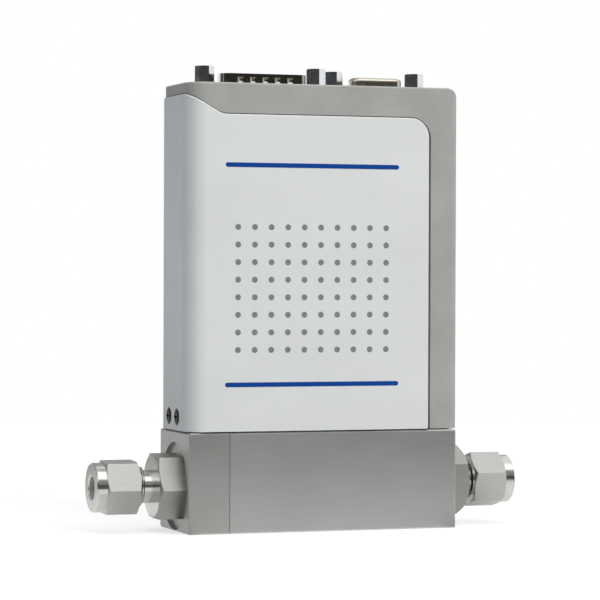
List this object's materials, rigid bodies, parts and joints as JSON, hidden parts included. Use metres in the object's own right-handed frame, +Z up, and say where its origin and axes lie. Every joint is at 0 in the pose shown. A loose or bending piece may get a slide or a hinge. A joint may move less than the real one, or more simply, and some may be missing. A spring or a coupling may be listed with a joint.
{
  "type": "mass flow controller",
  "caption": "Slim thermal mass flow controller: metal base block, tube compression fittings, two-tone upright housing and subminiature D connectors on top.",
  "frame": {"origin": "middle of the base block's underside", "axes": "+X along the flow from inlet to outlet, -Y towards the printed side, +Z up to the connectors"},
  "size_m": [0.1258, 0.0284, 0.131],
  "materials": {
    "stainless_block": "fine ground 316L stainless steel",
    "stainless_turned": "turned and machined 316 stainless steel",
    "black_rubber": "moulded fluoroelastomer",
    "copper_wire": "enamelled copper magnet wire",
    "bare_aluminium": "drawn aluminium, bare",
    "black_plastic": "glass-filled black plastic",
    "plated_steel": "zinc-plated sheet steel",
    "circuit_board": "green solder mask on glass-epoxy board",
    "tinned_steel": "tin-plated drawn steel",
    "gold_contacts": "gold-plated contacts",
    "black_oxide_steel": "black-finished steel",
    "nickel_plated_steel": "bright nickel-plated steel",
    "grey_shell_paint": "satin warm grey powder coat on a die-cast shell",
    "white_cover_plastic": "smooth off-white moulded plastic with two blue rules and a grey dot field"
  },
  "bodies": {
    "controller": {"base_block": "stainless_block", "inlet_adapter": "stainless_block", "flow_restrictor": "stainless_turned", "inlet_fitting_body": "stainless_turned", "inlet_nut": "stainless_turned", "inlet_front_ferrule": "stainless_turned", "inlet_back_ferrule": "stainless_turned", "inlet_o_ring": "black_rubber", "outlet_fitting_body": "stainless_turned", "outlet_nut": "stainless_turned", "outlet_front_ferrule": "stainless_turned", "outlet_back_ferrule": "stainless_turned", "outlet_o_ring": "black_rubber", "sensor_base": "stainless_turned", "sensor_seals": "black_rubber", "sensor_tube": "stainless_turned", "sensor_windings": "copper_wire", "sensor_cover": "bare_aluminium", "sensor_screws": "stainless_turned", "valve_seat": "stainless_turned", "valve_spring": "stainless_turned", "valve_stem": "stainless_turned", "valve_seal": "black_rubber", "stem_screws": "stainless_turned", "coil_bobbin": "black_plastic", "coil_winding": "copper_wire", "coil_yoke": "plated_steel", "coil_washer": "plated_steel", "coil_nut": "plated_steel", "inlet_bracket": "plated_steel", "outlet_bracket": "plated_steel", "bracket_screws": "stainless_turned", "main_board": "circuit_board", "board_screws": "stainless_turned", "board_chips": "black_plastic", "board_header": "black_plastic", "connector_board": "circuit_board", "plug_shell": "tinned_steel", "plug_insulator": "black_plastic", "plug_pins": "gold_contacts", "plug_jack_screws": "nickel_plated_steel", "socket_shell": "tinned_steel", "socket_insulator": "black_plastic", "socket_contacts": "gold_contacts", "socket_jack_screws": "nickel_plated_steel", "top_shell": "grey_shell_paint", "wrap_cover": "white_cover_plastic", "cover_screws": "black_oxide_steel"},
    "plunger": {"valve_plunger": "stainless_turned"}
  },
  "joints": [
    {"name": "valve_lift", "type": "slide", "parent": "controller", "child": "plunger", "axis": [0, 0, 1], "range_m": [0, 0.0004], "stiffness_N_per_m": 500, "springref_m": -0.001, "deforming": ["valve_spring"]}
  ]
}
